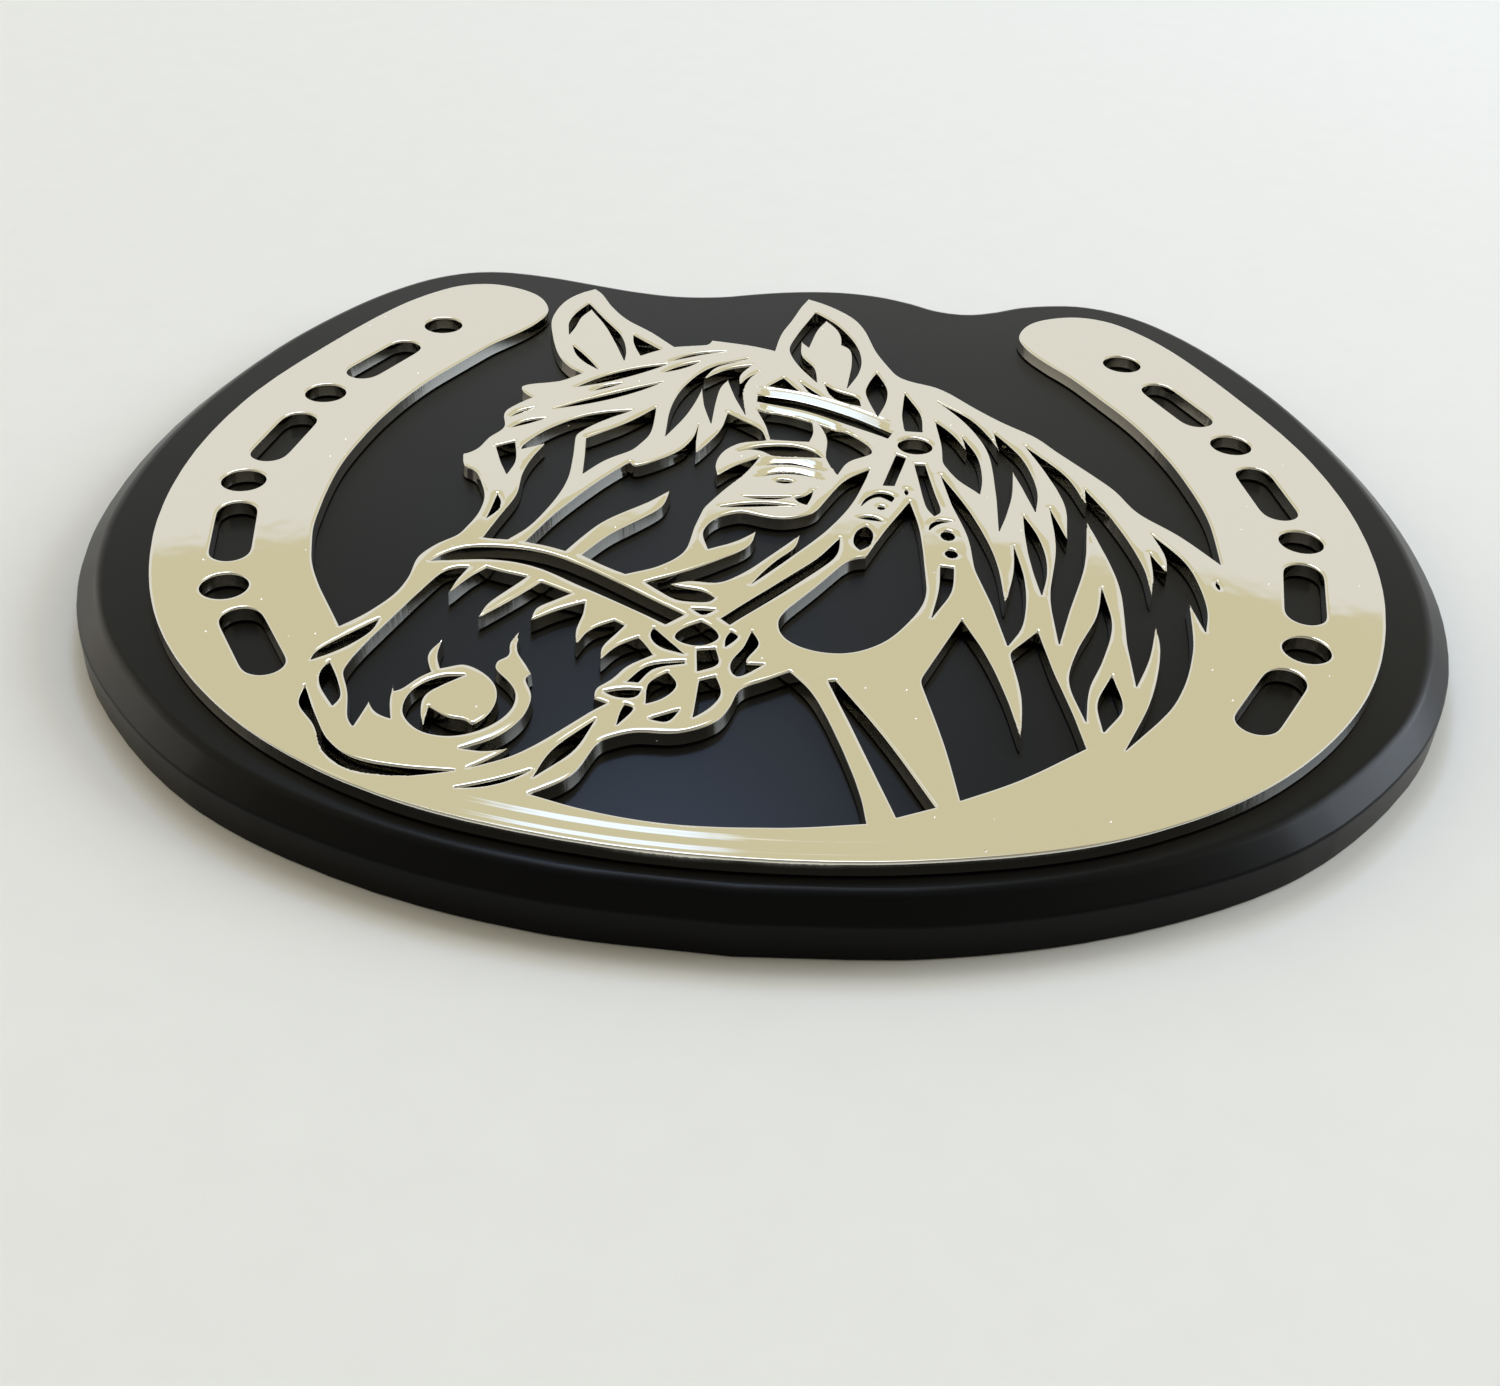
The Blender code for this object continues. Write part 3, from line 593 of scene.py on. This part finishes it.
def linear(hex_colour):
    """An sRGB hex colour as linear red, green, blue and full alpha."""
    shares = [int(hex_colour[i:i + 2], 16) / 255 for i in (1, 3, 5)]
    return (*(s / 12.92 if s <= 0.04045 else ((s + 0.055) / 1.055) ** 2.4 for s in shares), 1.0)


def node(tree, kind, inputs=None, **settings):
    """Adds a node. Inputs are values or other nodes' sockets, by the input's name or number."""
    made = tree.nodes.new(kind)
    for name, value in settings.items():
        setattr(made, name, value)
    for name, value in (inputs or {}).items():
        if isinstance(value, bpy.types.NodeSocket):
            tree.links.new(value, made.inputs[name])
        else:
            made.inputs[name].default_value = value
    return made


def new_finish(name, hex_colour, metallic, roughness):
    """A material with its shader's plain values set, and its tree, shader and object coordinates."""
    finish = bpy.data.materials.new(name)
    finish.use_nodes = True
    tree = finish.node_tree
    shader = tree.nodes["Principled BSDF"]
    shader.inputs["Base Color"].default_value = linear(hex_colour)
    shader.inputs["Metallic"].default_value = metallic
    shader.inputs["Roughness"].default_value = roughness
    return finish, tree, shader, node(tree, "ShaderNodeTexCoord").outputs["Object"]


def per_metre(size):
    """The texture scale at which one wave of a pattern has this size."""
    return 1.0 / size


# %% [markdown]
# ## Bright nickel plate
# Electroplated nickel is a mirror with a faint warm cast. The bath never levels a broad face quite flat, so
# what it mirrors swims a little: a low bump with waves of a centimetre, and smaller ripples on top of them.
# Where the casting was porous, tiny pits sit in the face. The walls keep the upright draw marks of the
# mould, so a streaked bump is laid on them alone, by how far the surface leans from level.

# %% Mix the bright nickel plate
WAVE = 11 * MM
WAVE_HEIGHT = 0.028 * MM
RIPPLE = 3.2 * MM
RIPPLE_HEIGHT = 0.008 * MM
# a mould's draw marks are finer, and are drawn this wide so that they show
DRAW_MARK = 0.7 * MM
DRAW_MARK_HEIGHT = 0.06 * MM
PIT_SPACING = 3 * MM
PIT_RADIUS = 0.16 * MM
PIT_DEPTH = 0.05 * MM
DRAW_MARK_STRETCH = 10
# a face whose normal rises by more than this is no wall
WALL_LIMIT = 0.1

nickel, tree_n, shader_n, at_n = new_finish("bright_nickel_plate", "#E6E3D8", 1.0, 0.03)
wave = node(tree_n, "ShaderNodeTexNoise", {"Vector": at_n, "Scale": per_metre(WAVE), "Detail": 1.0})
ripple = node(tree_n, "ShaderNodeTexNoise", {"Vector": at_n, "Scale": per_metre(RIPPLE), "Detail": 1.0})
upright = node(tree_n, "ShaderNodeMapping", {"Vector": at_n, "Scale": (1.0, 1.0, 1.0 / DRAW_MARK_STRETCH)})
mark = node(tree_n, "ShaderNodeTexNoise", {
    "Vector": upright.outputs["Vector"], "Scale": per_metre(DRAW_MARK), "Detail": 2.0,
})
cell = node(tree_n, "ShaderNodeTexVoronoi", {"Vector": at_n, "Scale": per_metre(PIT_SPACING)})
pit = node(tree_n, "ShaderNodeMapRange", {
    "Value": cell.outputs["Distance"], "From Min": 0.0, "From Max": PIT_RADIUS / PIT_SPACING,
})
facing = node(tree_n, "ShaderNodeNewGeometry")
lean = node(tree_n, "ShaderNodeSeparateXYZ", {"Vector": facing.outputs["Normal"]})
on_wall = node(tree_n, "ShaderNodeMapRange", {
    "Value": lean.outputs["Z"], "From Min": WALL_LIMIT, "From Max": 0.0,
})
broad = node(tree_n, "ShaderNodeBump", {"Height": wave.outputs["Fac"], "Distance": WAVE_HEIGHT})
close = node(tree_n, "ShaderNodeBump", {
    "Height": ripple.outputs["Fac"], "Distance": RIPPLE_HEIGHT, "Normal": broad.outputs["Normal"],
})
pitted = node(tree_n, "ShaderNodeBump", {
    "Height": pit.outputs["Result"], "Distance": PIT_DEPTH, "Normal": close.outputs["Normal"],
})
drawn = node(tree_n, "ShaderNodeBump", {
    "Strength": on_wall.outputs["Result"], "Height": mark.outputs["Fac"], "Distance": DRAW_MARK_HEIGHT,
    "Normal": pitted.outputs["Normal"],
})
tree_n.links.new(drawn.outputs["Normal"], shader_n.inputs["Normal"])
badge_piece.data.materials.append(nickel)

# %% [markdown]
# ## Satin black powder coat
# The plate is metal under a sprayed and baked coating. Fine powder melts into a skin that is smooth but not
# quite level, which spreads a reflection into a soft sheen, and its sheen varies a little from place to
# place.

# %% Mix the satin black coating
# the grain of melted powder is finer, and is drawn this coarse so that it shows
GRAIN = 0.35 * MM
GRAIN_HEIGHT = 0.0012 * MM
PATCH = 30 * MM
SMOOTHEST = 0.26
ROUGHEST = 0.34
# most coatings have 1.5, but this one mirrors less
COAT_IOR = 1.2

black, tree_b, shader_b, at_b = new_finish("satin_black_powder_coat", "#09090A", 0.0, 0.28)
shader_b.inputs["IOR"].default_value = COAT_IOR
grain = node(tree_b, "ShaderNodeTexNoise", {"Vector": at_b, "Scale": per_metre(GRAIN), "Detail": 2.0})
patch = node(tree_b, "ShaderNodeTexNoise", {"Vector": at_b, "Scale": per_metre(PATCH), "Detail": 3.0})
sheen = node(tree_b, "ShaderNodeMapRange", {
    "Value": patch.outputs["Fac"], "To Min": SMOOTHEST, "To Max": ROUGHEST,
})
tree_b.links.new(sheen.outputs["Result"], shader_b.inputs["Roughness"])
skin = node(tree_b, "ShaderNodeBump", {"Height": grain.outputs["Fac"], "Distance": GRAIN_HEIGHT})
tree_b.links.new(skin.outputs["Normal"], shader_b.inputs["Normal"])
plate_piece.data.materials.append(black)

# %% [markdown]
# ## The table and the room
# The plaque lies on white card. A mirror shows its room, so the room is part of the finish: white walls low
# down, a cream band above them where they meet the ceiling, and a dim ceiling overhead. Where the mirrored
# walls give way to the cream, the plating turns from white to pale gold. The dim ceiling gives the metal its
# dark outlines. Two soft windows behind the plaque, a bright one over a dim and narrow one, give the bright
# lines along the browband, the eyelids and the toe. They are painted into the room: a lamp is so much
# brighter than a window that a mirror would draw a hard white line along every rim.

# %% Lay the table
TABLE_SIZE = 3.0
# the fibres themselves are finer: this is the size of the card's faint clouds
FIBRE = 6 * MM

table_shape = bmesh.new()
bmesh.ops.create_grid(table_shape, x_segments=1, y_segments=1, size=TABLE_SIZE / 2)
table_mesh = bpy.data.meshes.new("table")
table_shape.to_mesh(table_mesh)
table_shape.free()
table = bpy.data.objects.new("table", table_mesh)
bpy.context.scene.collection.objects.link(table)

card, tree_c, shader_c, at_c = new_finish("white_card", "#E6E4DF", 0.0, 0.6)
fibre = node(tree_c, "ShaderNodeTexNoise", {"Vector": at_c, "Scale": per_metre(FIBRE), "Detail": 4.0})
shader_c.inputs["Specular IOR Level"].default_value = 0.1
tint = node(tree_c, "ShaderNodeMix", {
    "Factor": fibre.outputs["Fac"], "A": linear("#E4E2DD"), "B": linear("#E8E6E1"),
}, data_type="RGBA")
tree_c.links.new(tint.outputs["Result"], shader_c.inputs["Base Color"])
table.data.materials.append(card)

# %% Paint the room
WALL_TOP = 30.0
WALL_BORDER = 0.05
CREAM_TOP = 60.0
CREAM_FADE = 4.0
# the room is dim in front of the plaque, and grows bright between these shares of straight behind it
FRONT_DIMMING = 0.45
DIM_UP_TO = -0.3
BRIGHT_FROM = 0.05
HEAD_FADE = 3.0
# in degrees: bearing of the middle, half width that is fully bright, half width that is lit at all, height of
# the sill, how softly it starts, height of the head; then the linear colour, which may be brighter than white
WINDOWS = (
    (-8.0, 18.0, 28.0, 48.5, 5.0, 66.0, (4.0, 4.3, 4.8, 1.0)),
    (-8.5, 4.0, 8.0, 43.0, 2.0, 48.0, (1.15, 1.3, 1.55, 1.0)),
)

world = bpy.data.worlds.new("room")
bpy.context.scene.world = world
world.use_nodes = True
tree_w = world.node_tree
direction = node(tree_w, "ShaderNodeTexCoord")
gaze = node(tree_w, "ShaderNodeSeparateXYZ", {"Vector": direction.outputs["Generated"]})
room = node(tree_w, "ShaderNodeValToRGB", {"Fac": gaze.outputs["Z"]})


def sine(degrees):
    """How high a direction that rises by these degrees reaches on a ball of radius one."""
    return math.sin(math.radians(degrees))


stops = (
    (0.0, (0.88, 0.88, 0.85)),
    (sine(WALL_TOP - WALL_BORDER), (0.88, 0.87, 0.83)),
    (sine(WALL_TOP + WALL_BORDER), (0.75, 0.70, 0.49)),
    (sine(CREAM_TOP), (0.75, 0.70, 0.50)),
    (sine(CREAM_TOP + CREAM_FADE), (0.33, 0.32, 0.30)),
)
ramp = room.color_ramp
ramp.elements[1].position = 1.0
for position, _ in stops[1:-1]:
    ramp.elements.new(position)
for element, (position, colour) in zip(ramp.elements, stops):
    element.position = position
    element.color = (*colour, 1.0)
brightness = node(tree_w, "ShaderNodeMapRange", {
    "Value": gaze.outputs["Y"], "From Min": DIM_UP_TO, "From Max": BRIGHT_FROM, "To Min": FRONT_DIMMING,
})


def soft_step(value, start, end, low, high):
    """A node output that passes smoothly from low to high while the value passes from start to end."""
    return node(tree_w, "ShaderNodeMapRange", {
        "Value": value, "From Min": start, "From Max": end, "To Min": low, "To Max": high,
    }, interpolation_type="SMOOTHSTEP").outputs["Result"]


def combined(operation, first, second):
    """A node output that works with two values."""
    return node(tree_w, "ShaderNodeMath", {0: first, 1: second}, operation=operation).outputs["Value"]


bearing = combined("ARCTAN2", gaze.outputs["X"], gaze.outputs["Y"])
rise = gaze.outputs["Z"]
seen = room.outputs["Color"]
for middle, full, reach, sill, soft, head, colour in WINDOWS:
    aside = combined("SUBTRACT", bearing, math.radians(middle))
    aside = combined("MAXIMUM", aside, combined("MULTIPLY", aside, -1.0))
    across = soft_step(aside, math.radians(full), math.radians(reach), 1.0, 0.0)
    sill_end = soft_step(rise, sine(sill), sine(sill + soft), 0.0, 1.0)
    head_end = soft_step(rise, sine(head), sine(head + HEAD_FADE), 1.0, 0.0)
    inside = combined("MULTIPLY", across, combined("MULTIPLY", sill_end, head_end))
    glazed = node(tree_w, "ShaderNodeMix", {"Factor": inside, "A": seen, "B": colour}, data_type="RGBA")
    seen = glazed.outputs["Result"]
tree_w.links.new(seen, tree_w.nodes["Background"].inputs["Color"])
tree_w.links.new(brightness.outputs["Result"], tree_w.nodes["Background"].inputs["Strength"])
bpy.context.scene.view_settings.view_transform = "Standard"
print("windows painted into the room:", len(WINDOWS))

# %% [markdown]
# ## The lamps
# The lamps light the black plate and the card. A cool one at the back stands for the window and lays a navy
# sheen on the plate's top. A soft panel on each side gives the plate's slope its sheen, cool on the right
# and warm on the left. They are area lamps, so their light is soft. The plating is left out of it by light
# linking, because it mirrors the painted room. Each place is given as a compass bearing from the back of the
# plaque, a height above the horizon and a distance, as a photographer would set it.

# %% Hang the lamps
# name, bearing and height in degrees, distance and (width, depth) in metres, watts, colour
LAMPS = (
    ("window", -5, 48, 1.6, (0.26, 0.24), 4.5, "#A9CBFF"),
    ("cool_panel", 72, 27, 1.2, (0.70, 0.62), 10.8, "#DFEAF8"),
    ("warm_panel", -70, 20, 1.2, (0.90, 0.60), 3.6, "#FFF5E4"),
)


def place_at(bearing, height, distance):
    """The point at a bearing and a height in degrees and a distance in metres from the plaque."""
    turn = math.radians(bearing)
    tilt = math.radians(height)
    flat = math.cos(tilt)
    return Vector((math.sin(turn) * flat, math.cos(turn) * flat, math.sin(tilt))) * distance


lit = bpy.data.collections.new("lit_by_lamps")
for lit_object in (plate_piece, table):
    lit.objects.link(lit_object)
for name, bearing, height, distance, (width, depth), watts, colour in LAMPS:
    lamp = bpy.data.lights.new(name, "AREA")
    lamp.shape = "RECTANGLE"
    lamp.size = width
    lamp.size_y = depth
    lamp.energy = watts
    lamp.color = linear(colour)[:3]
    holder = bpy.data.objects.new(name, lamp)
    holder.location = place_at(bearing, height, distance)
    holder.rotation_euler = holder.location.to_track_quat("Z", "Y").to_euler()
    holder.light_linking.receiver_collection = lit
    bpy.context.scene.collection.objects.link(holder)
print("lamps:", [lamp[0] for lamp in LAMPS])
